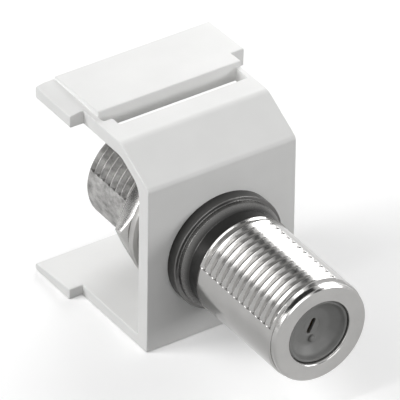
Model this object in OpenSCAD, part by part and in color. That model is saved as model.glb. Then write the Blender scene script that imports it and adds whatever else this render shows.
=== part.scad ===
// Snap-in coaxial coupler: a double-ended threaded port clamped in a one-piece moulded insert
// that clips into a wall plate opening. Sizes are in millimetres.
// X runs across the insert, -Y out of the wall plate towards the user, and Z up.
// The origin is where the connector's axis crosses the insert's front face.

/* [Insert body] */
// Width of the insert across the wall plate opening
body_w = 14.5; // [13.5:0.1:17]
// Height of the flat front face
face_h = 16.2; // [15.6:0.1:19]
// Height of the connector's axis above the insert's base
axis_h = 8.0; // [7.8:0.1:8.6]
// Rise of the sloped shoulder above the front face
slope_rise = 2.35; // [1.6:0.05:3]
// Run of the sloped shoulder, front to back
slope_run = 4.2; // [3.4:0.1:5]
// Depth from the front face to the rear edge of the arms
depth = 15; // [14.4:0.1:18]
// Thickness of the front wall
front_wall_t = 1.4; // [1:0.1:2]
// Thickness of the sloped shoulder's wall
slope_wall_t = 1.25; // [0.9:0.05:1.6]
// Thickness of the upper arm
upper_arm_t = 1.3; // [1:0.05:1.8]
// Thickness of the lower arm
lower_arm_t = 1.05; // [0.8:0.05:1.4]
// Thickness of the lower arm at its rear edge
lower_tip_t = 0.65; // [0.4:0.05:0.8]
// Radius of the curves inside the sloped shoulder
inner_blend_r = 1.8; // [0.8:0.1:2]
// Radius between the front face and the sloped shoulder
face_blend_r = 0.5; // [0.3:0.1:1.6]
// Radius between the sloped shoulder and the top strip
strip_blend_r = 1.4; // [0.4:0.1:2]
// Radius of the remaining moulded edges
edge_r = 0.2; // [0.1:0.05:0.25]

/* [Ears] */
// Reach of each ear beyond the side of the insert
ear_reach = 1.3; // [0.8:0.1:2]
// Length of the ears along the arms
ear_l = 5.25; // [3.5:0.05:5.6]
// Width of the bevel along the upper left ear's outer edge
ear_bevel_w = 0.8; // [0.4:0.1:1]
// Drop of that bevel at the outer edge
ear_bevel_drop = 0.15; // [0.05:0.05:0.4]

/* [Latch] */
// Length of the flat strip between the shoulder and the wall plate slot
strip_l = 2.3; // [1.5:0.1:2.6]
// Front-to-back width of the wall plate slot
slot_l = 1.8; // [1.2:0.1:2]
// Width of the left rail beside the slot
rail_left_w = 1.4; // [1:0.1:2]
// Width of the right rail beside the slot
rail_right_w = 0.5; // [0.4:0.1:1]
// Width of the left rail where the relief notch narrows it
rail_notch_w = 0.5; // [0.4:0.1:0.8]
// Length of the relief notch, front to back
notch_l = 0.75; // [0.4:0.05:0.9]
// Height of the latch above the strip at its front edge
latch_rise_front = 0.5; // [0.3:0.05:0.9]
// Height of the latch above the strip at its rear edge
latch_rise_rear = 0.22; // [0.1:0.02:0.28]

/* [Clamping boss] */
// Length of the boss behind the front wall
boss_l = 2.8; // [1.5:0.1:3.4]
// Wall of the boss around its hole
boss_wall = 0.6; // [0.4:0.05:1]
// Gap between the threaded barrel and the hole through the insert
hole_clearance = 0.14; // [0.04:0.01:0.2]

/* [Connector barrel] */
// Outside diameter of the thread
thread_d = 9.4; // [9.2:0.025:9.9]
// Distance from one crest of the thread to the next
thread_pitch = 0.794; // [0.7:0.002:0.9]
// Width of each crest
crest_w = 0.32; // [0.3:0.01:0.4]
// Depth of the thread from its crests to its pitch line, where barrel and nut meet
thread_half_depth = 0.26; // [0.2:0.01:0.3]
// Depth below the crests of the two smooth lands that run along each port
land_drop = 0.085; // [0.04:0.005:0.09]
// Angle that each smooth land spans around the barrel
land_span = 85; // [30:1:100]
// Tilt of the lands from the horizontal
land_tilt = 21.5; // [0:0.5:45]
// Reach of the front port beyond the insert's front face
front_reach = 14.46; // [13:0.1:18]
// Reach of the rear port behind the insert's front face
rear_reach = 13.9; // [13:0.1:14.3]
// Depth of the plain rim at the front port's tip below the thread's crests
rim_drop = 0.24; // [0.2:0.02:0.45]
// Width of the rounded edge between that rim and the flat ring around the socket
rim_w = 0.65; // [0.3:0.05:0.8]
// Length of that rounded edge
rim_l = 0.45; // [0.2:0.05:0.8]
// Chamfer at the rear port's tip
rear_chamfer = 0.8; // [0.5:0.02:1.1]
// Distance from the insert's front face to where the front thread starts
thread_start = 3.4; // [2.6:0.1:5]
// Depth of the plain neck behind the front thread below the thread's crests
neck_drop = 0.2; // [0.16:0.02:0.45]

/* [Flange] */
// Reach of the flange beyond the thread's crests, where it seats on the insert's front face
flange_w = 0.6; // [0.4:0.02:1.4]
// Thickness of the flange
flange_t = 1.05; // [0.6:0.05:1.2]
// Reach of the collar between flange and neck beyond the thread's crests
collar_w = 0.25; // [0.05:0.02:0.35]
// Length of the collar
collar_l = 0.45; // [0.2:0.05:0.8]
// Chamfer of the flange's front edge
flange_chamfer = 0.15; // [0.05:0.05:0.25]

/* [Sockets] */
// Radius of the opening in each end lip
lip_r = 2.9; // [2.7:0.05:3.1]
// Length of each end lip
lip_l = 1.1; // [0.8:0.05:1.4]
// Radius of the chamber between the lips
chamber_r = 3.35; // [3.2:0.05:3.5]
// Chamfer of the front lip's mouth
mouth_chamfer = 0.15; // [0.05:0.05:0.3]

/* [Nut and washer] */
// Thickness of the nut's wall from the thread's crests to each flat
nut_wall = 0.85; // [0.6:0.01:1.2]
// Thickness of the nut
nut_t = 1.95; // [1.4:0.05:2.6]
// Turn of the nut about its axis, from a corner pointing left
nut_turn = 4; // [0:1:60]
// Width of the chamfer on the nut's end faces, in from the flats
nut_chamfer_w = 0.2; // [0.05:0.05:0.3]
// Chamfer of the nut's threaded hole
nut_hole_chamfer = 0.25; // [0.1:0.05:0.4]
// Width of the washer's ring
washer_w = 1.07; // [0.7:0.01:1.4]
// Thickness of the washer
washer_t = 0.7; // [0.4:0.05:1]
// Gap between the meshing threads of the nut and the barrel
nut_clearance = 0.03; // [0.02:0.01:0.06]
// Gap between the thread's crests and the washer's hole
washer_clearance = 0.18; // [0.06:0.02:0.24]

/* [Insulators] */
// Gap around each insulator inside the barrel
insulator_clearance = 0.03; // [0.02:0.01:0.06]
// Length of each insulator behind its end lip
insulator_l = 4.5; // [3.5:0.1:6]
// Depth of each insulator's nose below the end of the barrel
nose_recess = 0.3; // [0.1:0.05:0.5]
// Radius of the funnel's mouth in the nose
funnel_r = 2.55; // [2:0.05:2.6]
// Depth of the funnel
funnel_depth = 0.95; // [0.6:0.05:1.1]
// Radius of the centre hole
pin_hole_r = 0.75; // [0.5:0.05:0.9]
// Depth of the contact's pocket floor below the end of the barrel
pocket_depth = 1.9; // [1.6:0.05:2.4]

/* [Centre contact] */
// Outside radius of the contact
contact_r = 1.2; // [1.1:0.05:1.5]
// Radius of the contact's bore
contact_bore_r = 0.45; // [0.35:0.05:0.6]
// Depth of the contact's bore at each end
contact_bore_depth = 6; // [5:0.5:9]
// Length of the spring slots at each end
contact_slot_l = 5; // [3:0.5:8]
// Width of the spring slots
contact_slot_w = 0.3; // [0.2:0.05:0.4]
// Gap around the contact in the insulators
contact_clearance = 0.04; // [0.02:0.01:0.08]

/* [Hidden] */
$fn = 96;
blend_steps = 8;
overlap = 0.01;
cut_margin = 1;
flank_angle = 30;
run_out_angle = 2;

left_x = -body_w / 2;
right_x = body_w / 2;
base_z = -axis_h;
top_z = face_h + slope_rise;
upper_arm_z = top_z - upper_arm_t;
slot_front_y = slope_run + strip_l;
slot_rear_y = slot_front_y + slot_l;
ear_front_y = depth - ear_l;

thread_r = thread_d / 2;
land_r = thread_r - land_drop;
root_r = thread_r - (thread_pitch - crest_w) / 2 / tan(flank_angle);
mesh_r = thread_r - thread_half_depth;
lead_angle = atan(thread_pitch / (2 * PI * mesh_r));
rim_r = thread_r - rim_drop;
neck_r = thread_r - neck_drop;
flange_r = thread_r + flange_w;
collar_r = thread_r + collar_w;
hole_r = thread_r + hole_clearance;
boss_r = hole_r + boss_wall;
boss_end_y = front_wall_t + boss_l;
nut_front_y = boss_end_y + washer_t;
nut_rear_y = nut_front_y + nut_t;
pocket_r = contact_r + contact_clearance;

// Unit vector along v
function unit(v) = v / norm(v);

// Points of the arc of radius r that rounds the corner at b between a and c
function corner_arc(a, b, c, r) =
    let (
        u = unit(a - b),
        w = unit(c - b),
        half = acos(u * w) / 2,
        centre = b + unit(u + w) * r / sin(half),
        from = b + u * r / tan(half) - centre,
        to = b + w * r / tan(half) - centre,
        start = atan2(from[1], from[0]),
        sweep = (atan2(to[1], to[0]) - start + 540) % 360 - 180
    )
    [for (i = [0 : blend_steps])
        centre + r * [cos(start + sweep * i / blend_steps), sin(start + sweep * i / blend_steps)]];

// The outline through the corners [x, y, radius], with each corner rounded to its radius
function rounded_outline(corners) =
    let (n = len(corners), flat = [for (c = corners) [c[0], c[1]]])
    [for (i = [0 : n - 1])
        each corners[i][2] > 0
            ? corner_arc(flat[(i + n - 1) % n], flat[i], flat[(i + 1) % n], corners[i][2])
            : [flat[i]]];

// A side profile in Y and Z, carried across the insert from x0 to x1
module across(x0, x1, corners) {
    translate([x0, 0, base_z])
        rotate([90, 0, 90])
            linear_extrude(height = x1 - x0)
                polygon(rounded_outline(corners));
}

// A profile of [radius, y] points turned about the connector's axis
module turned(points) {
    rotate([-90, 0, 0])
        rotate_extrude()
            polygon(points);
}

// Height of the inner face of the sloped shoulder at depth y
slope_len = norm([slope_run, slope_rise]);
inner_slope_y = slope_rise * slope_wall_t / slope_len;
inner_slope_z = face_h - slope_run * slope_wall_t / slope_len;
function inner_slope_height(y) = inner_slope_z + (y - inner_slope_y) * slope_rise / slope_run;
inner_slope_top_y = inner_slope_y + (upper_arm_z - inner_slope_z) * slope_run / slope_rise;

// Front wall, sloped shoulder and both arms, as one bent strip
module bent_strip() {
    across(left_x, right_x, [
        [0, 0, edge_r],
        [0, face_h, face_blend_r],
        [slope_run, top_z, strip_blend_r],
        [depth, top_z, edge_r / 2],
        [depth, upper_arm_z, edge_r],
        [inner_slope_top_y, upper_arm_z, inner_blend_r],
        [front_wall_t, inner_slope_height(front_wall_t), inner_blend_r],
        [front_wall_t, lower_arm_t, edge_r],
        [ear_front_y, lower_arm_t, 0],
        [depth, lower_tip_t, edge_r],
        [depth, 0, edge_r]
    ]);
}

// The lower arm's rear end, widened to both ears
module lower_ears() {
    across(left_x - ear_reach, right_x + ear_reach, [
        [ear_front_y, 0, edge_r],
        [ear_front_y, lower_arm_t, 0],
        [depth, lower_tip_t, edge_r],
        [depth, 0, edge_r]
    ]);
}

// The upper left ear, level with the strip and bevelled along its outer edge
module upper_left_ear() {
    translate([0, depth, base_z])
        rotate([90, 0, 0])
            linear_extrude(height = ear_l)
                polygon([
                    [left_x - ear_reach, upper_arm_z + edge_r],
                    [left_x - ear_reach, top_z - ear_bevel_drop],
                    [left_x - ear_reach + ear_bevel_w, top_z],
                    [left_x + rail_notch_w + overlap, top_z],
                    [left_x + rail_notch_w + overlap, upper_arm_z],
                    [left_x - ear_reach + edge_r, upper_arm_z]
                ]);
}

// The wedge-shaped latch behind the slot, from x0 to x1 and from y0 to the rear edge
module latch_wedge(x0, x1, y0) {
    rise_at_y0 = latch_rise_rear
        + (latch_rise_front - latch_rise_rear) * (depth - y0) / (depth - slot_rear_y);
    across(x0, x1, [
        [y0, upper_arm_z, edge_r],
        [y0, top_z + rise_at_y0, edge_r / 2],
        [depth, top_z + latch_rise_rear, edge_r / 2],
        [depth, upper_arm_z, edge_r]
    ]);
}

// The slot that takes the wall plate's edge, with the relief notch in its left rear corner
module plate_slot() {
    inner_left = left_x + rail_left_w;
    inner_right = right_x - rail_right_w;
    notch_left = left_x + rail_notch_w;
    translate([0, 0, base_z + upper_arm_z - cut_margin])
        linear_extrude(height = upper_arm_t + cut_margin * 2)
            polygon(rounded_outline([
                [inner_left, slot_front_y, edge_r],
                [inner_right, slot_front_y, edge_r],
                [inner_right, slot_rear_y, 0],
                [notch_left, slot_rear_y, edge_r],
                [notch_left, slot_rear_y - notch_l, edge_r],
                [inner_left, slot_rear_y - notch_l, edge_r]
            ]));
}

// The moulded insert, one piece
module housing() {
    color("white")
        difference() {
            union() {
                difference() {
                    bent_strip();
                    plate_slot();
                }
                lower_ears();
                upper_left_ear();
                latch_wedge(left_x + rail_notch_w, right_x, slot_rear_y);
                latch_wedge(right_x - overlap, right_x + ear_reach, ear_front_y);
                turned([[0, front_wall_t / 2], [boss_r, front_wall_t / 2], [boss_r, boss_end_y],
                        [0, boss_end_y]]);
            }
            turned([[0, -cut_margin], [hole_r, -cut_margin], [hole_r, boss_end_y + cut_margin],
                    [0, boss_end_y + cut_margin]]);
        }
}

// A profile of [radius, y] points turned over the given span, centred on the given angle
module turned_sector(angle, span, points) {
    rotate([-90, 0, 0])
        rotate([0, 0, -angle - span / 2])
            rotate_extrude(angle = span)
                polygon(points);
}

// Cutter for one port: smooth lands from y0 to y1 at two sides, and the thread from thread_y on
// between them. Each half turn of the thread is a ring segment, tilted by the lead.
module port_cutter(y0, y1, thread_y) {
    crest_r = thread_r + overlap;
    half_w = (crest_r - root_r) * tan(flank_angle);
    groove = [[crest_r, -half_w], [root_r, 0], [crest_r, half_w]];
    for (side = [0, 1]) {
        angle = land_tilt + 180 * side;
        first_y = thread_y + (crest_w + thread_pitch * (1 + side)) / 2;
        turned_sector(angle, land_span, [[land_r, y0], [flange_r, y0], [flange_r, y1], [land_r, y1]]);
        for (y = [first_y : thread_pitch : y1 - thread_pitch / 2])
            translate([0, y, 0])
                rotate(lead_angle, [cos(angle + 90), 0, sin(angle + 90)])
                    turned_sector(angle + 90, 180 - land_span + 2 * run_out_angle, groove);
    }
}

// The cast and turned barrel with its flange, both threaded ports and their end lips.
// Where the nut is screwed on, the thread is a plain cylinder at its pitch line.
module connector_body() {
    collar_end = flange_t + collar_l;
    rim_start = front_reach - rim_l;
    color("silver")
        difference() {
            turned([
                [lip_r + mouth_chamfer, -front_reach],
                [rim_r - rim_w, -front_reach],
                [rim_r, -rim_start],
                [thread_r, -rim_start + rim_drop],
                [thread_r, -thread_start],
                [neck_r, -thread_start + neck_drop],
                [neck_r, -collar_end - collar_r + neck_r],
                [collar_r, -collar_end],
                [collar_r, -flange_t],
                [flange_r - flange_chamfer, -flange_t],
                [flange_r, -flange_t + flange_chamfer],
                [flange_r, 0],
                [thread_r, 0],
                [thread_r, nut_front_y],
                [mesh_r, nut_front_y],
                [mesh_r, nut_rear_y],
                [thread_r, nut_rear_y],
                [thread_r, rear_reach - rear_chamfer],
                [thread_r - rear_chamfer, rear_reach],
                [lip_r, rear_reach],
                [lip_r, rear_reach - lip_l],
                [chamber_r, rear_reach - lip_l],
                [chamber_r, -front_reach + lip_l],
                [lip_r, -front_reach + lip_l],
                [lip_r, -front_reach + mouth_chamfer]
            ]);
            port_cutter(-rim_start, -thread_start, -rim_start + rim_drop);
            port_cutter(nut_rear_y, rear_reach, nut_rear_y);
        }
}

// The flat washer between the boss and the nut
module washer() {
    inner_r = thread_r + washer_clearance;
    color("silver")
        turned([[inner_r, boss_end_y], [inner_r + washer_w, boss_end_y],
                [inner_r + washer_w, nut_front_y], [inner_r, nut_front_y]]);
}

// The hexagonal nut, with its corners chamfered on both faces
module hex_nut() {
    flat_r = thread_r + nut_wall;
    corner_r = flat_r / cos(30);
    chamfer_r = flat_r - nut_chamfer_w;
    nut_hole_r = mesh_r + nut_clearance;
    drop = (corner_r - chamfer_r) * tan(30);
    color("silver")
        difference() {
            intersection() {
                translate([0, nut_front_y, 0])
                    rotate([-90, 0, 0])
                        rotate([0, 0, nut_turn])
                            cylinder(r = corner_r, h = nut_t, $fn = 6);
                turned([
                    [0, nut_front_y],
                    [chamfer_r, nut_front_y],
                    [corner_r, nut_front_y + drop],
                    [corner_r, nut_rear_y - drop],
                    [chamfer_r, nut_rear_y],
                    [0, nut_rear_y]
                ]);
            }
            turned([
                [0, nut_front_y - cut_margin],
                [nut_hole_r + nut_hole_chamfer, nut_front_y - cut_margin],
                [nut_hole_r + nut_hole_chamfer, nut_front_y],
                [nut_hole_r, nut_front_y + nut_hole_chamfer],
                [nut_hole_r, nut_rear_y - nut_hole_chamfer],
                [nut_hole_r + nut_hole_chamfer, nut_rear_y],
                [nut_hole_r + nut_hole_chamfer, nut_rear_y + cut_margin],
                [0, nut_rear_y + cut_margin]
            ]);
        }
}

// An insulator for a port that ends at the given reach, drawn towards +Y
module insulator(reach) {
    seat_y = reach - lip_l;
    nose_y = reach - nose_recess;
    turned([
        [pin_hole_r, reach - pocket_depth],
        [pin_hole_r, nose_y - funnel_depth],
        [funnel_r, nose_y],
        [lip_r - insulator_clearance, nose_y],
        [lip_r - insulator_clearance, seat_y],
        [chamber_r - insulator_clearance, seat_y],
        [chamber_r - insulator_clearance, seat_y - insulator_l],
        [pocket_r, seat_y - insulator_l],
        [pocket_r, reach - pocket_depth]
    ]);
}

// The insulator behind the front port's lip
module front_insulator() {
    color("gray")
        mirror([0, 1, 0])
            insulator(front_reach);
}

// The insulator behind the rear port's lip
module rear_insulator() {
    color("gray")
        insulator(rear_reach);
}

// The double-ended spring contact, slotted crosswise at both ends
module centre_contact() {
    front_y = -front_reach + pocket_depth + contact_clearance;
    rear_y = rear_reach - pocket_depth - contact_clearance;
    color("goldenrod")
        difference() {
            turned([[0, front_y], [contact_r, front_y], [contact_r, rear_y], [0, rear_y]]);
            for (y = [front_y - cut_margin, rear_y - contact_bore_depth])
                turned([[0, y], [contact_bore_r, y], [contact_bore_r, y + contact_bore_depth + cut_margin],
                        [0, y + contact_bore_depth + cut_margin]]);
            for (y = [front_y - cut_margin, rear_y - contact_slot_l], turn = [0, 90])
                translate([0, y, 0])
                    rotate([0, turn, 0])
                        translate([-contact_r - cut_margin, 0, -contact_slot_w / 2])
                            cube([(contact_r + cut_margin) * 2, contact_slot_l + cut_margin,
                                  contact_slot_w]);
        }
}

housing();
connector_body();
washer();
hex_nut();
front_insulator();
rear_insulator();
centre_contact();
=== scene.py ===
"""Looks of the snap-in coaxial coupler insert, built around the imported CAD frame.

X runs across the insert, -Y out of the wall plate and Z up. Sizes of the part are in millimetres,
and angles about the connector's axis are in degrees from +X towards +Z. The studio is in metres.
"""
import math

import bmesh
import bpy
from mathutils import Matrix, Vector

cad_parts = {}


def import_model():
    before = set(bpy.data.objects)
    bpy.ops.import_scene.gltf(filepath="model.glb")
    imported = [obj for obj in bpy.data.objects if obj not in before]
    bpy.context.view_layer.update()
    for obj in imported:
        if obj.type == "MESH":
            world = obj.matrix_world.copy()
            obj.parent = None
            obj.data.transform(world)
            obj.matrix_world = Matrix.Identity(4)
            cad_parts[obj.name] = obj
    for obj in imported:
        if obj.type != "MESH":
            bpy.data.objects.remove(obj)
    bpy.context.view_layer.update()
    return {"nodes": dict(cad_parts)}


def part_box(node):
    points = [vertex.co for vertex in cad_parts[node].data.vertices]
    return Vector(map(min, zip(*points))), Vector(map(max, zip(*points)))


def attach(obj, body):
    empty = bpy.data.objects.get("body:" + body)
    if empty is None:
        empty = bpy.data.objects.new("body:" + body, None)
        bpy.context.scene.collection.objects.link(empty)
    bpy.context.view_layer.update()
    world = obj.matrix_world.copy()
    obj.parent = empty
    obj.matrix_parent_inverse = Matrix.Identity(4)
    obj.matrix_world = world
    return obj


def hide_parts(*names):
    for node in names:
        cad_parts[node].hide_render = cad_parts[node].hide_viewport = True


MM = 0.001
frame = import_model()

X, Y, Z = range(3)
LOW, HIGH = range(2)


def reach(node, side, axis):
    """How far a CAD node reaches to one side along an axis, in millimetres."""
    return round(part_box(node)[side][axis] / MM, 3)


# Sizes taken from the CAD frame
FRONT_Y = reach("connector_body", LOW, Y)
REAR_Y = reach("connector_body", HIGH, Y)
FLANGE_R = reach("connector_body", HIGH, X)
BASE_Z = reach("housing", LOW, Z)
DEPTH = reach("housing", HIGH, Y)
EAR_X = reach("housing", HIGH, X)
BOSS_END_Y = reach("washer", LOW, Y)
WASHER_R = reach("washer", HIGH, X)
NUT_FRONT_Y = reach("hex_nut", LOW, Y)
NUT_REAR_Y = reach("hex_nut", HIGH, Y)
INSULATOR_R = reach("front_insulator", HIGH, X)


# Meshes

SMOOTH_ANGLE = 35
MERGE = 1e-7
CORNERS = ((-1, -1), (1, -1), (1, 1), (-1, 1))
# Radius that stands for the axis in a turned outline, and how far a cutting tool sticks out
AXIS_R = 0.01
OVERCUT = 0.5


def add_object(name, data):
    obj = bpy.data.objects.new(name, data)
    bpy.context.scene.collection.objects.link(obj)
    return obj


def finish_mesh(name, bm, smooth_angle=SMOOTH_ANGLE, merge=MERGE):
    """An object from bm: points merged, faces turned outwards, edges sharp above the angle."""
    bmesh.ops.remove_doubles(bm, verts=bm.verts, dist=merge)
    bmesh.ops.recalc_face_normals(bm, faces=bm.faces)
    for face in bm.faces:
        face.smooth = True
    limit = math.radians(smooth_angle)
    for edge in bm.edges:
        edge.smooth = len(edge.link_faces) == 2 and edge.calc_face_angle(0) < limit
    mesh = bpy.data.meshes.new(name)
    bm.to_mesh(mesh)
    bm.free()
    return add_object(name, mesh)


def mesh_from(name, vertices, faces, smooth_angle=SMOOTH_ANGLE, merge=MERGE):
    """An object from points in millimetres. Faces lose the corners that coincide."""
    bm = bmesh.new()
    points = [bm.verts.new(Vector(v) * MM) for v in vertices]
    for face in faces:
        ring = []
        for i in face:
            if not ring or (points[i].co - ring[-1].co).length > merge:
                ring.append(points[i])
        if len(ring) > 1 and (ring[0].co - ring[-1].co).length <= merge:
            ring.pop()
        if len(ring) > 2:
            bm.faces.new(ring)
    return finish_mesh(name, bm, smooth_angle, merge)


def finished_again(obj, name, merge=MERGE):
    """Replaces an object by one of this name, after its mesh was cut or joined."""
    bm = bmesh.new()
    bm.from_mesh(obj.data)
    bpy.data.objects.remove(obj)
    return finish_mesh(name, bm, merge=merge)


def rounded(corners, steps=5):
    """A closed outline through the corners (a, b, radius), each rounded to its radius."""
    result = []
    count = len(corners)
    for i, (a, b, radius) in enumerate(corners):
        if radius <= 0:
            result.append((a, b))
            continue
        here = Vector((a, b))
        before = Vector(corners[i - 1][:2]) - here
        after = Vector(corners[(i + 1) % count][:2]) - here
        u, w = before.normalized(), after.normalized()
        half = math.acos(max(-1, min(1, u.dot(w)))) / 2
        # No rounding takes more than its half of a side
        cut = min(radius / math.tan(half), before.length * 0.49, after.length * 0.49)
        radius = cut * math.tan(half)
        centre = here + (u + w).normalized() * radius / math.sin(half)
        start, end = here + u * cut - centre, here + w * cut - centre
        sweep = math.atan2(start.x * end.y - start.y * end.x, start.dot(end))
        for k in range(steps + 1):
            turn = Matrix.Rotation(sweep * k / steps, 2)
            result.append(tuple(centre + turn @ start))
    return result


def inset(outline, amount):
    """The closed outline moved inwards by amount."""
    area = sum(a[0] * b[1] - b[0] * a[1] for a, b in zip(outline, outline[1:] + outline[:1]))
    turn = 1 if area > 0 else -1
    result = []
    for i, here in enumerate(outline):
        before, after = Vector(outline[i - 1]), Vector(outline[(i + 1) % len(outline)])
        here = Vector(here)
        u, w = (here - before).normalized(), (after - here).normalized()
        n1, n2 = Vector((-u.y, u.x)) * turn, Vector((-w.y, w.x)) * turn
        middle = (n1 + n2).normalized()
        result.append(tuple(here + middle * amount / max(0.5, middle.dot(n1))))
    return result


def around(r, y, angle):
    return (r * math.cos(angle), y, r * math.sin(angle))


def lathe(name, outline, columns=160):
    """A closed outline of (radius, y) points turned about the connector's axis."""
    vertices, faces = [], []
    rows = len(outline)
    for j in range(columns):
        angle = 2 * math.pi * j / columns
        vertices += [around(r, y, angle) for r, y in outline]
    for j in range(columns):
        near, far = j * rows, (j + 1) % columns * rows
        for i in range(rows):
            k = (i + 1) % rows
            faces.append((near + i, near + k, far + k, far + i))
    return mesh_from(name, vertices, faces)


def across(a, b, along):
    return (along, a, b)


def lengthwise(a, b, along):
    return (a, along, b)


def upright(a, b, along):
    return (a, b, along)


def prism(name, outline, start, end, place, edge=0.09, steps=3):
    """An outline carried from start to end, with rounded rims. place maps (a, b, along) to XYZ."""
    rings = []
    for k in range(steps + 1):
        angle = math.pi / 2 * (1 - k / steps)
        rings.append((edge * (1 - math.cos(angle)), start + edge * (1 - math.sin(angle))))
    rings += [(amount, end + start - along) for amount, along in reversed(rings)]
    count = len(outline)
    vertices, faces = [], []
    for amount, along in rings:
        vertices += [place(a, b, along) for a, b in (inset(outline, amount) if amount else outline)]
    for r in range(len(rings) - 1):
        for i in range(count):
            k = (i + 1) % count
            faces.append((r * count + i, r * count + k, (r + 1) * count + k, (r + 1) * count + i))
    faces.append(tuple(range(count)))
    faces.append(tuple(range((len(rings) - 1) * count, len(rings) * count)))
    return mesh_from(name, vertices, faces)


def combine(target, tool, operation):
    """target becomes target and tool joined, or target less tool."""
    modifier = target.modifiers.new("combine", "BOOLEAN")
    modifier.operation = operation
    modifier.solver = "EXACT"
    modifier.object = tool
    bpy.context.view_layer.update()
    evaluated = target.evaluated_get(bpy.context.evaluated_depsgraph_get())
    mesh = bpy.data.meshes.new_from_object(evaluated)
    target.modifiers.remove(modifier)
    target.data = mesh
    bpy.data.objects.remove(tool)


def bevelled_copy(node, name, width, segments=3):
    """A copy of a CAD node whose sharp edges are rounded, as moulded or tumbled edges are."""
    flat, sharp = math.radians(0.4), math.radians(40)
    bm = bmesh.new()
    bm.from_mesh(frame["nodes"][node].data)
    bmesh.ops.remove_doubles(bm, verts=bm.verts, dist=2e-6)
    bmesh.ops.dissolve_limit(bm, angle_limit=flat, verts=bm.verts, edges=bm.edges)
    bmesh.ops.dissolve_degenerate(bm, edges=bm.edges, dist=1e-6)
    edges = [e for e in bm.edges if len(e.link_faces) == 2 and e.calc_face_angle(0) > sharp]
    bmesh.ops.bevel(bm, geom=edges, offset=width * MM, segments=segments, profile=0.5,
                    affect="EDGES", clamp_overlap=False)
    return finish_mesh(name, bm)


# The moulding

HALF_W = 7.25
WALL = 1.4
TOP_Z = 10.55
ARM_Z = 9.25
SLOPE_FOOT_Z, SLOPE_HEAD_Y = 8.2, 4.2
INNER_SLOPE_FOOT_Z, INNER_SLOPE_HEAD_Y = 7.738, 4.1
LOWER_ARM_Z, LOWER_TIP_Z = BASE_Z + 1.05, BASE_Z + 0.65
SLOT_FRONT_Y, SLOT_REAR_Y, SLOT_X = 6.5, 8.3, 6.75
# The relief notch at the slot's left end
NOTCH_X, NOTCH_Y = -5.85, 7.55
EAR_Y = 9.75
EAR_BEVEL = (0.8, 0.15)
RAIL_W = 0.5
# The latch's height over the arm at the slot and at its rear edge
RISE_FRONT, RISE_REAR = 0.5, 0.22
BOSS_R, BOSS_INNER_R, BOSS_CHAMFER = 5.44, 4.5, 0.1
# The hole through wall and boss, and where its cutting tool starts and ends
HOLE_R, HOLE_TOOL_Y = 4.84, (-1, 6)
# Radii of the edges and of the bends, and how deep joined forms run into each other
EDGE_R, FINE_EDGE_R, INNER_EDGE_R = 0.2, 0.12, 0.25
SLOPE_FOOT_R, SLOPE_HEAD_R, INNER_BEND_R = 0.5, 1.4, 1.8
OVERLAP, EAR_ROOT = 0.01, 0.3


def bent_strip():
    """The front wall with both arms, bent from one strip, and the slot across the upper arm."""
    body = prism("insert_moulding", rounded([
        (0, BASE_Z, EDGE_R), (0, SLOPE_FOOT_Z, SLOPE_FOOT_R), (SLOPE_HEAD_Y, TOP_Z, SLOPE_HEAD_R),
        (DEPTH, TOP_Z, FINE_EDGE_R), (DEPTH, ARM_Z, EDGE_R),
        (INNER_SLOPE_HEAD_Y, ARM_Z, INNER_BEND_R), (WALL, INNER_SLOPE_FOOT_Z, INNER_BEND_R),
        (WALL, LOWER_ARM_Z, INNER_EDGE_R), (EAR_Y, LOWER_ARM_Z, 0), (DEPTH, LOWER_TIP_Z, EDGE_R),
        (DEPTH, BASE_Z, EDGE_R)], 8), -HALF_W, HALF_W, across)
    slot = prism("slot", rounded([
        (NOTCH_X, SLOT_FRONT_Y, EDGE_R), (SLOT_X, SLOT_FRONT_Y, EDGE_R), (SLOT_X, SLOT_REAR_Y, 0),
        (-SLOT_X, SLOT_REAR_Y, EDGE_R), (-SLOT_X, NOTCH_Y, EDGE_R), (NOTCH_X, NOTCH_Y, EDGE_R)]),
        ARM_Z - OVERCUT, TOP_Z + 2 * OVERCUT, upright)
    combine(body, slot, "DIFFERENCE")
    return body


def add_ears_and_latch(body):
    lower_ears = prism("ears", rounded([
        (EAR_Y, BASE_Z, EDGE_R), (EAR_Y, LOWER_ARM_Z, FINE_EDGE_R), (DEPTH, LOWER_TIP_Z, EDGE_R),
        (DEPTH, BASE_Z, EDGE_R)]), -EAR_X, EAR_X, across)
    combine(body, lower_ears, "UNION")
    bevel_x, bevel_z = EAR_BEVEL
    rail_x = -HALF_W + RAIL_W
    left_ear = prism("left_ear", rounded([
        (-EAR_X, ARM_Z, EDGE_R), (-EAR_X, TOP_Z - bevel_z, FINE_EDGE_R),
        (-EAR_X + bevel_x, TOP_Z, 0), (rail_x + OVERLAP, TOP_Z, 0),
        (rail_x + OVERLAP, ARM_Z, 0)]), EAR_Y, DEPTH, lengthwise)
    combine(body, left_ear, "UNION")
    slope = (RISE_FRONT - RISE_REAR) / (DEPTH - SLOT_REAR_Y)
    for name, x0, x1, y0 in (("latch", rail_x, HALF_W, SLOT_REAR_Y - OVERLAP),
                             ("right_ear", HALF_W - EAR_ROOT, EAR_X, EAR_Y)):
        front_z = TOP_Z + RISE_REAR + slope * (DEPTH - y0)
        wedge = prism(name, rounded([
            (y0, ARM_Z, EDGE_R), (y0, front_z, FINE_EDGE_R),
            (DEPTH, TOP_Z + RISE_REAR, FINE_EDGE_R), (DEPTH, ARM_Z, EDGE_R)]), x0, x1, across)
        combine(body, wedge, "UNION")


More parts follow.
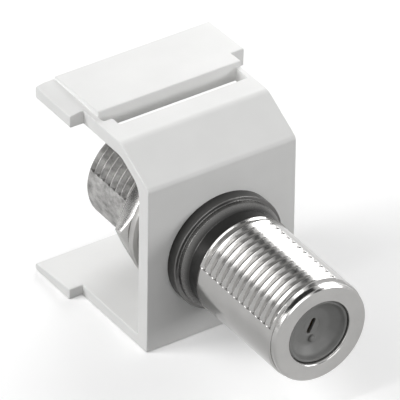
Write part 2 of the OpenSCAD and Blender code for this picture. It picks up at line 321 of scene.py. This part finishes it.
def moulding():
    """The insert: bent strip, ears, latch and clamping boss, one piece."""
    body = bent_strip()
    add_ears_and_latch(body)
    boss = [(BOSS_INNER_R, WALL / 2), (BOSS_R, WALL / 2), (BOSS_R, BOSS_END_Y - BOSS_CHAMFER),
            (BOSS_R - BOSS_CHAMFER, BOSS_END_Y), (BOSS_INNER_R, BOSS_END_Y)]
    combine(body, lathe("boss", boss, columns=96), "UNION")
    start, end = HOLE_TOOL_Y
    hole = [(AXIS_R, start), (HOLE_R, start), (HOLE_R, end), (AXIS_R, end)]
    combine(body, lathe("hole", hole, columns=96), "DIFFERENCE")
    body = finished_again(body, "insert_moulding", merge=1e-6)
    weighted = body.modifiers.new("even_normals", "WEIGHTED_NORMAL")
    weighted.keep_sharp = True
    weighted.weight = 100
    return body


# The barrel

THREAD_R = 4.7
ROOT_R = 4.23
PITCH = 0.794
LAND_R = 4.615
# Where the nut is screwed on
MESH_R = 4.44
RIM_R = 4.46
RIM_CHAMFER_R, RIM_CHAMFER_Y = 0.17, 0.11
RIM_END_Y = -13.81
THREAD_START_Y = -3.4
NECK_R, NECK_START_Y, NECK_END_Y = 4.5, THREAD_START_Y + 0.2, -1.95
COLLAR_R, COLLAR_START_Y = 4.95, -1.5
FLANGE_START_Y = -1.05
REAR_CHAMFER = 0.8
LIP_R = 2.9
LIP_L = 1.1
CHAMBER_R = 3.35
# How steeply the thread rises behind the rim
FRONT_RISE = 2.5
# Small steps between the thread and the plain surfaces beside it
STEP_R, STEP_Y, REAR_STEP_R = 0.02, 0.02, 0.03

# One turn of the thread: (share of the pitch, share of the depth below the crest). The crest and
# the flanks are flat, with narrow corners between them.
THREAD_FORM = [(-0.04, 0.0), (0.04, 0.0), (0.055, 0.03), (0.07, 0.075), (0.09, 0.124),
               (0.4, 0.876), (0.43, 0.945), (0.5, 1.0), (0.57, 0.945), (0.6, 0.876),
               (0.91, 0.124), (0.93, 0.075), (0.945, 0.03)]
# Each port: tilt of its two smooth lands, the place of its first groove halfway between them, and
# the lengths over which the thread fades in and out
FRONT_LANDS, FRONT_GROOVE_Y, FRONT_FADES = 21.5, -13.213, (0.5, 0.3)
REAR_LANDS, REAR_GROOVE_Y, REAR_FADES = 21.5, 7.407, (0.05, 0.4)
LAND_HALF = 42.5
LAND_BLEND = 1.2
COLUMN_STEP = 2
# Below the angle at the crest's edges, which stay sharp
BARREL_SMOOTH_ANGLE = 32


def smoothstep(t):
    t = max(0.0, min(1.0, t))
    return t * t * (3 - 2 * t)


def land_share(degrees, tilt):
    """1 on the two smooth lands, 0 on the thread between them."""
    off = abs((degrees - tilt + 90) % 180 - 90)
    return smoothstep((LAND_HALF + LAND_BLEND - off) / (2 * LAND_BLEND))


def barrel_columns():
    """Angles of the barrel's columns, closer together at the lands' edges."""
    angles = set(range(0, 360, COLUMN_STEP))
    for tilt in (FRONT_LANDS, REAR_LANDS):
        for edge in (tilt + turn + side * LAND_HALF for turn in (0, 180) for side in (-1, 1)):
            for k in range(-3, 4):
                angles.add(round((edge + k * LAND_BLEND / 2) % 360, 3))
    return sorted(angles)


def envelope(y):
    """Largest radius of the threaded part at y."""
    front = RIM_R + FRONT_RISE * max(0.0, y - RIM_END_Y)
    rear = THREAD_R - REAR_CHAMFER + max(0.0, REAR_Y - y)
    return min(THREAD_R, front, rear)


def thread_rows(columns, y0, y1, tilt, groove_y, fades):
    """Rows of a right-handed thread between y0 and y1: a list of columns of (radius, y)."""
    per_turn = len(THREAD_FORM)
    start = groove_y - PITCH * math.ceil((groove_y - y0) / PITCH + 1)
    turns = math.ceil((y1 - start) / PITCH) + 2
    grid = []
    for degrees in columns:
        land = land_share(degrees, tilt)
        column = []
        for m in range(turns * per_turn + 1):
            u, drop = THREAD_FORM[m % per_turn]
            y = start + PITCH * (m // per_turn + u - 0.5 - (degrees - tilt - 90) / 360)
            y = max(y0, min(y1, y))
            fade = smoothstep((y - y0) / fades[0]) * smoothstep((y1 - y) / fades[1])
            radius = THREAD_R - (THREAD_R - ROOT_R) * drop * fade
            radius = radius + (LAND_R - radius) * land
            column.append((min(radius, envelope(y)), y))
        grid.append(column)
    return grid


def barrel_outlines():
    """Turned outlines of the front end, of the part between the threads and of the rear end."""
    # The front's last point is the thread's first
    front = rounded([
        (CHAMBER_R, FRONT_Y + LIP_L, 0), (LIP_R, FRONT_Y + LIP_L, 0), (LIP_R, FRONT_Y, 0.25),
        (RIM_R - RIM_CHAMFER_R, FRONT_Y, 0.06), (RIM_R, FRONT_Y + RIM_CHAMFER_Y, 0.05),
        (RIM_R, RIM_END_Y, 0)], 6)[:-1]
    middle = rounded([
        (THREAD_R - STEP_R, THREAD_START_Y, 0), (NECK_R, NECK_START_Y, 0.15),
        (NECK_R, NECK_END_Y, 0.2), (COLLAR_R, COLLAR_START_Y, 0.12),
        (COLLAR_R, FLANGE_START_Y, 0.06), (FLANGE_R, FLANGE_START_Y, 0.08), (FLANGE_R, 0, 0.03),
        (THREAD_R, 0, 0), (THREAD_R, NUT_FRONT_Y, 0), (MESH_R, NUT_FRONT_Y, 0),
        (MESH_R, NUT_REAR_Y, 0)])
    face_r = THREAD_R - REAR_CHAMFER
    rear = rounded([
        (face_r, REAR_Y - STEP_Y, 0), (face_r - REAR_STEP_R, REAR_Y, 0), (LIP_R, REAR_Y, 0.15),
        (LIP_R, REAR_Y - LIP_L, 0), (CHAMBER_R, REAR_Y - LIP_L, 0)])
    return front, middle, rear


def barrel():
    """The barrel, one piece: column beside column, each with its own height of the thread."""
    columns = barrel_columns()
    front, middle, rear = barrel_outlines()
    first = thread_rows(columns, RIM_END_Y, THREAD_START_Y, FRONT_LANDS, FRONT_GROOVE_Y,
                        FRONT_FADES)
    second = thread_rows(columns, NUT_REAR_Y, REAR_Y - STEP_Y, REAR_LANDS, REAR_GROOVE_Y,
                         REAR_FADES)
    vertices = []
    for j, degrees in enumerate(columns):
        angle = math.radians(degrees)
        profile = front + first[j] + middle + second[j] + rear
        vertices += [around(r, y, angle) for r, y in profile]
    rows = len(profile)
    starts = (len(front), len(front) + len(first[0]) + len(middle))
    lengths = (len(first[0]), len(second[0]))

    def wrapped(row):
        """Row of column 0 that continues this row of the last column."""
        for start, length in zip(starts, lengths):
            if start <= row < start + length:
                return max(start, row - len(THREAD_FORM))
        return row

    faces = []
    for j in range(len(columns)):
        near, far = j * rows, (j + 1) * rows
        last = j == len(columns) - 1
        for i in range(rows):
            k = (i + 1) % rows
            far_i = wrapped(i) if last else far + i
            far_k = wrapped(k) if last else far + k
            faces.append((near + i, near + k, far_k, far_i))
    return mesh_from("barrel", vertices, faces, BARREL_SMOOTH_ANGLE, merge=2e-7)


# The washer and the insulators

WASHER_HOLE_R = 4.88
SLIT_HALF_W, SLIT_HALF_L, SLIT_CORNER_R = 0.21, 0.72, 0.18
SLIT_TILT = math.radians(26)
# How far the slit's cutting tool reaches past the lips, towards -Y and towards +Y
SLIT_OVERCUTS = (0.5, 0.3)
CENTRE_HOLE_R, SOCKET_R, FUNNEL_R = 0.75, 1.24, 2.87
# Depths below the port's end face
FACE_DEPTH, SOCKET_DEPTH, END_DEPTH = 0.3, 1.9, 5.6
LIPS_DEPTH = (1.34, 1.55)
LIPS_R = 0.9
MARK_DEPTH = (1.0, 1.5)
MARK_R, MARK_Z, MARK_POINTS = 0.33, -1.2, 16


def washer():
    return lathe("flat_washer", rounded([
        (WASHER_HOLE_R, BOSS_END_Y, 0.06), (WASHER_R, BOSS_END_Y, 0.1),
        (WASHER_R, NUT_FRONT_Y, 0.1), (WASHER_HOLE_R, NUT_FRONT_Y, 0.06)], 3))


def insulator_outline(tip, direction):
    """Outline of an insulator whose port ends at tip and opens along direction."""
    def at(r, depth, radius=0.0):
        return (r, tip - direction * depth, radius)
    centre_hole = [at(CENTRE_HOLE_R, SOCKET_DEPTH), at(CENTRE_HOLE_R, 1.32, 0.1)]
    funnel = [at(1.7, 1.18, 0.8), at(2.45, 0.7, 0.6), at(2.66, FACE_DEPTH, 0.08),
              at(FUNNEL_R, FACE_DEPTH, 0.08)]
    outside = [at(FUNNEL_R, LIP_L), at(INSULATOR_R, LIP_L, 0.1), at(INSULATOR_R, END_DEPTH, 0.2)]
    socket = [at(SOCKET_R, END_DEPTH, 0.1), at(SOCKET_R, SOCKET_DEPTH)]
    return rounded(centre_hole + funnel + outside + socket, 4)


def insulator(name, tip, direction):
    """A turned insulator whose centre hole is covered by two thin lips with a slit between them."""
    def span(depths):
        return sorted(tip - direction * depth for depth in depths)
    body = lathe(name, insulator_outline(tip, direction))
    near, far = span(LIPS_DEPTH)
    lips = [(AXIS_R, near), (LIPS_R, near), (LIPS_R, far), (AXIS_R, far)]
    combine(body, lathe("lips", lips, columns=48), "UNION")
    along = Vector((math.sin(SLIT_TILT), math.cos(SLIT_TILT)))
    side = Vector((along.y, -along.x))
    corners = [side * SLIT_HALF_W * a + along * SLIT_HALF_L * b for a, b in CORNERS]
    outline = rounded([(c.x, c.y, SLIT_CORNER_R) for c in corners], 4)
    slit = prism("slit", outline, near - SLIT_OVERCUTS[0], far + SLIT_OVERCUTS[1], lengthwise,
                 edge=0.02, steps=1)
    combine(body, slit, "DIFFERENCE")
    turns = [2 * math.pi * k / MARK_POINTS for k in range(MARK_POINTS)]
    circle = [(MARK_R * math.cos(turn), MARK_R * math.sin(turn) + MARK_Z) for turn in turns]
    mark = prism("gate_mark", circle, *span(MARK_DEPTH), lengthwise, edge=0.2, steps=4)
    combine(body, mark, "UNION")
    return finished_again(body, name)


# Materials

def feed(tree, node, inputs):
    """Sets a node's inputs: an output is linked, and anything else is the socket's own value."""
    for name, value in inputs.items():
        if isinstance(value, bpy.types.NodeSocket):
            tree.links.new(value, node.inputs[name])
        else:
            node.inputs[name].default_value = value


def add_node(tree, kind, inputs=None, **settings):
    node = tree.nodes.new("ShaderNode" + kind)
    for name, value in settings.items():
        setattr(node, name, value)
    feed(tree, node, inputs or {})
    return node


def material(name):
    """A new material, its node tree and its Principled shader."""
    mat = bpy.data.materials.new(name)
    mat.use_nodes = True
    return mat, mat.node_tree, mat.node_tree.nodes["Principled BSDF"]


def object_coords(tree, scale=(1, 1, 1)):
    coords = add_node(tree, "TexCoord")
    mapping = add_node(tree, "Mapping", {"Vector": coords.outputs["Object"], "Scale": scale})
    return mapping.outputs["Vector"]


def noise(tree, vector, scale, detail=3.0, rough=0.5):
    return add_node(tree, "TexNoise", {"Vector": vector, "Scale": scale, "Detail": detail,
                                       "Roughness": rough}).outputs["Fac"]


def ramp(tree, value, colours, stops=(0.3, 0.7)):
    """Colours at their stops along a value from 0 to 1."""
    node = add_node(tree, "ValToRGB", {"Fac": value})
    elements = node.color_ramp.elements
    while len(elements) < len(stops):
        elements.new(1.0)
    for element, stop, colour in zip(elements, stops, colours):
        element.position = stop
        element.color = (*colour, 1)
    return node.outputs["Color"]


def remap(tree, value, low, high, start=0.0, end=1.0):
    """The value's range from start to end, stretched to run from low to high."""
    return add_node(tree, "MapRange", {
        "Value": value, "From Min": start, "From Max": end, "To Min": low,
        "To Max": high}).outputs["Result"]


def calculated(tree, operation, first, second):
    return add_node(tree, "Math", {0: first, 1: second}, operation=operation).outputs["Value"]


def mixed(tree, first, second, factor, blend="MIX"):
    return add_node(tree, "Mix", {"A": first, "B": second, "Factor": factor}, data_type="RGBA",
                    blend_type=blend).outputs["Result"]


def bump(tree, height, strength, distance):
    return add_node(tree, "Bump", {"Height": height, "Strength": strength,
                                   "Distance": distance}).outputs["Normal"]


def white_plastic():
    mat, tree, shader = material("moulded_white")
    coords = object_coords(tree)
    broad = noise(tree, coords, 260, 2)
    fine = noise(tree, coords, 2600)
    feed(tree, shader, {
        "Base Color": ramp(tree, broad, [(0.845, 0.845, 0.835), (0.875, 0.875, 0.865)]),
        "Roughness": remap(tree, fine, 0.34, 0.44),
        "IOR": 1.46,
        "Specular IOR Level": 0.35,
        "Normal": bump(tree, fine, 0.12, 0.00002)})
    return mat


def plated(name, base, low, high, along=False):
    """Nickel plate with faint cloudiness and turned or tumbled scratches."""
    mat, tree, shader = material(name)
    clouds = noise(tree, object_coords(tree), 420, 4, 0.6)
    marks = noise(tree, object_coords(tree, (1, 0.25, 1)), 2400, 4, 0.65)
    colour = ramp(tree, clouds, [tuple(c * 0.9 for c in base), base])
    rough = remap(tree, marks, low, high)
    if along:
        colour, rough = along_barrel(tree, colour, rough)
    feed(tree, shader, {
        "Metallic": 1.0, "Base Color": colour, "Roughness": rough,
        "Normal": bump(tree, marks, 0.1, 0.00003)})
    return mat


# Along the barrel: (place in mm, share of the plate's brightness left under the painted shade of
# the neck and flange, added roughness, scuffs)
BARREL_SHADE_AND_SCUFFS = [(-3.45, 1.0, 0.0, 0.0), (-3.3, 0.12, 0.1, 0.0), (-1.9, 0.12, 0.1, 0.0),
                 (-1.6, 0.36, 0.12, 0.0), (-1.1, 0.36, 0.12, 0.0), (-1.0, 0.34, 0.16, 0.0),
                 (0.0, 0.12, 0.2, 0.0), (0.2, 1.0, 0.2, 1.0), (6.8, 1.0, 0.36, 1.0)]


def along_barrel(tree, colour, rough):
    """Paints shade on the neck and the flange, and roughens and scuffs the rear port."""
    places, *columns = zip(*BARREL_SHADE_AND_SCUFFS)
    start, end = places[0], places[-1]
    stops = [(place - start) / (end - start) for place in places]
    split = add_node(tree, "SeparateXYZ", {"Vector": object_coords(tree)})
    share = remap(tree, split.outputs["Y"], 0.0, 1.0, start * MM, end * MM)
    painted_shade, added, scuffed = (ramp(tree, share, [(tone,) * 3 for tone in column], stops)
                              for column in columns)
    scuffs = noise(tree, object_coords(tree, (1, 0.6, 1)), 900, 5, 0.7)
    patches = ramp(tree, scuffs, [(0.5,) * 3, (1.15,) * 3], (0.36, 0.62))
    # Painted shade: the neck and the flange are darkened to stand in for dark reflections and the
    # shade by the wall
    colour = mixed(tree, colour, painted_shade, 1.0, "MULTIPLY")
    colour = mixed(tree, colour, patches, scuffed, "MULTIPLY")
    return colour, calculated(tree, "ADD", rough, added)


def insulator_plastic():
    mat, tree, shader = material("insulator_grey")
    coords = object_coords(tree)
    broad = noise(tree, coords, 700)
    feed(tree, shader, {
        "Base Color": ramp(tree, broad, [(0.19, 0.19, 0.185), (0.23, 0.23, 0.225)]),
        "Roughness": remap(tree, broad, 0.4, 0.5),
        "Normal": bump(tree, noise(tree, coords, 3000), 0.15, 0.00002)})
    return mat


def contact_metal():
    mat, tree, shader = material("contact_bronze")
    clouds = noise(tree, object_coords(tree), 900)
    feed(tree, shader, {
        "Metallic": 1.0,
        "Base Color": ramp(tree, clouds, [(0.62, 0.46, 0.25), (0.72, 0.55, 0.32)]),
        "Roughness": remap(tree, clouds, 0.25, 0.38),
        "Normal": bump(tree, clouds, 0.1, 0.00002)})
    return mat


# Pieces

def dress(obj, mat, node):
    """Gives a piece its material and its body, and hides the CAD node it stands for."""
    obj.data.materials.clear()
    obj.data.materials.append(mat)
    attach(obj, "root")
    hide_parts(node)


BARREL_PLATE = (0.405, 0.4, 0.392)
WASHER_PLATE = (0.42, 0.415, 0.405)
NUT_PLATE = (0.47, 0.465, 0.455)

dress(moulding(), white_plastic(), "housing")
dress(barrel(), plated("nickel_barrel", BARREL_PLATE, 0.09, 0.22, along=True),
      "connector_body")
dress(washer(), plated("washer_plate", WASHER_PLATE, 0.26, 0.36), "washer")
dress(bevelled_copy("hex_nut", "clamping_nut", 0.06), plated("nut_plate", NUT_PLATE, 0.14, 0.26),
      "hex_nut")
plastic = insulator_plastic()
dress(insulator("front_insulator_turned", FRONT_Y, -1), plastic,
      "front_insulator")
dress(insulator("rear_insulator_turned", REAR_Y, 1), plastic,
      "rear_insulator")
dress(bevelled_copy("centre_contact", "spring_contact", 0.04, 2), contact_metal(),
      "centre_contact")


# Camera

def camera():
    """The photograph's camera, fitted to the object's corners: far away, with a long lens."""
    yaw, pitch, roll = 0.5916, 0.6106, 0.0139
    distance, side, height = 0.657915, -1.785 * MM, 2.1825 * MM
    middle = Vector((0, 0, 2 * MM))
    forward = Vector((math.sin(yaw) * math.cos(pitch), math.cos(yaw) * math.cos(pitch),
                      -math.sin(pitch)))
    right = Vector((math.cos(yaw), -math.sin(yaw), 0))
    up = right.cross(forward)
    turned_right = math.cos(roll) * right + math.sin(roll) * up
    turned_up = math.cos(roll) * up - math.sin(roll) * right
    target = middle + side * turned_right + height * turned_up
    data = bpy.data.cameras.new("camera")
    data.sensor_width = 36
    data.lens = 722.81578
    data.clip_end = 50
    obj = add_object("camera", data)
    axes = Matrix((turned_right, turned_up, -forward)).transposed()
    obj.matrix_world = Matrix.Translation(target - forward * distance) @ axes.to_4x4()
    bpy.context.scene.camera = obj


camera()


# Studio

# Half the floor's side, and how far it lies below the base
FLOOR_HALF, FLOOR_GAP = 4, 1e-5
WHITE, FLOOR_SEEN, FLOOR_BOUNCE = (1, 1, 1, 1), (0.95, 0.95, 0.95, 1), (0.15, 0.15, 0.15, 1)
CARD_BLACK = (0.02, 0.02, 0.02, 1)
# The floor glows where it is seen, more with the distance from the object
FLOOR_GLOW, FLOOR_GLOW_DISTANCE = (0.2, 0.85), (0.08, 0.7)
WORLD_LIGHT, WORLD_SEEN = 0.2, 1.0
# Name, centre, and the two half sides
CARDS = [("rear_card", (-0.0775, 0.25, 0.215), (0.2225, 0, 0), (0, 0, 0.185)),
         ("front_card", (0.235, -0.50, 0.24), (0.052, 0.024, 0), (0, 0, 0.085))]
# Name, place, size and radiance
LAMPS = [("rear_right", (0.269, 0.289, 0.144), (0.22, 0.33), 6.0),
         ("rear_left", (-0.40, 0.20, 0.24), (0.25, 0.25), 8.6),
         ("front_right", (0.42, -0.38, 0.165), (0.23, 0.18), 8.2),
         ("front_low", (-0.02, -0.55, 0.163), (0.28, 0.17), 3.6),
         ("left_side", (-0.5, -0.05, 0.16), (0.25, 0.3), 1.0),
         ("above_left", (-0.225, -0.028, 0.445), (0.38, 0.052), 5.8)]


def lamp(name, place, size, radiance):
    """A soft box of size (width, height), aimed at the object."""
    data = bpy.data.lights.new(name, "AREA")
    data.shape = "RECTANGLE"
    data.size, data.size_y = size
    data.energy = radiance * math.pi * size[0] * size[1]
    obj = add_object(name, data)
    obj.location = place
    obj.rotation_euler = (-Vector(place)).to_track_quat("-Z", "Z").to_euler()
    obj.visible_camera = False


def seen_directly(tree):
    """1 on camera, glossy and transmission rays."""
    path = add_node(tree, "LightPath")
    total = path.outputs["Is Camera Ray"]
    for name in ("Is Glossy Ray", "Is Transmission Ray"):
        total = calculated(tree, "MAXIMUM", total, path.outputs[name])
    return total


def plane(name, centre, right, up):
    """A flat rectangle from its centre and its two half sides."""
    corners = [Vector(centre) + Vector(right) * a + Vector(up) * b for a, b in CORNERS]
    mesh = bpy.data.meshes.new(name)
    mesh.from_pydata(corners, [], [(0, 1, 2, 3)])
    obj = add_object(name, mesh)
    return obj


def floor():
    """A pale floor that looks almost white and casts little light back on the object."""
    obj = plane("floor", (0, 0, BASE_Z * MM - FLOOR_GAP), (FLOOR_HALF, 0, 0), (0, FLOOR_HALF, 0))
    mat, tree, shader = material("floor_pale")
    seen = seen_directly(tree)
    length = add_node(tree, "VectorMath", {"Vector": object_coords(tree)}, operation="LENGTH")
    glow = remap(tree, length.outputs["Value"], *FLOOR_GLOW, *FLOOR_GLOW_DISTANCE)
    feed(tree, shader, {
        "Base Color": mixed(tree, FLOOR_BOUNCE, FLOOR_SEEN, seen),
        "Roughness": 0.9,
        "Specular IOR Level": 0.0,
        "Emission Color": WHITE,
        "Emission Strength": calculated(tree, "MULTIPLY", seen, glow)})
    obj.data.materials.append(mat)


def cards():
    """Black cards behind and before the object, which put the dark bands on the bright metal."""
    mat, tree, shader = material("card_black")
    feed(tree, shader, {"Base Color": CARD_BLACK, "Roughness": 1.0, "Specular IOR Level": 0.0})
    for name, centre, right, up in CARDS:
        obj = plane(name, centre, right, up)
        obj.visible_camera = False
        obj.data.materials.append(mat)


def world():
    scene_world = bpy.data.worlds.new("studio")
    scene_world.use_nodes = True
    tree = scene_world.node_tree
    feed(tree, tree.nodes["Background"], {
        "Color": WHITE, "Strength": remap(tree, seen_directly(tree), WORLD_LIGHT, WORLD_SEEN)})
    bpy.context.scene.world = scene_world


floor()
cards()
world()
for name, place, size, radiance in LAMPS:
    lamp(name, place, size, radiance)

bpy.context.scene.view_settings.view_transform = "Standard"
